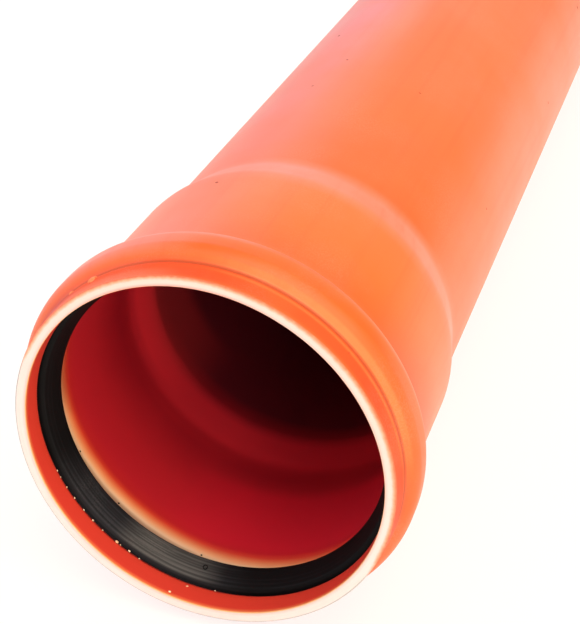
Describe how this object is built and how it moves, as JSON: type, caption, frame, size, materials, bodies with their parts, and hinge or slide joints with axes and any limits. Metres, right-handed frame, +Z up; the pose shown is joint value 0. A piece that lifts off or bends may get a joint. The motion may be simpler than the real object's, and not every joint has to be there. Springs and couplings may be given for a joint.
{
  "type": "plastic sewer pipe",
  "caption": "Orange PVC drain and sewer pipe with a push-fit socket, a black rubber lip seal in its bead, a pale cut rim and a bevelled spigot end.",
  "frame": {"origin": "on the pipe's axis, at the end face of the socket's mouth", "axes": "+Y along the pipe's axis, from the socket's mouth to the spigot; +Z up as the pipe lies"},
  "size_m": [0.1262, 1.073, 0.126],
  "materials": {
    "orange_pvc": "satin",
    "black_rubber": "satin"
  },
  "bodies": {
    "root": {"pipe": "orange_pvc", "seal_ring": "black_rubber"}
  },
  "joints": []
}
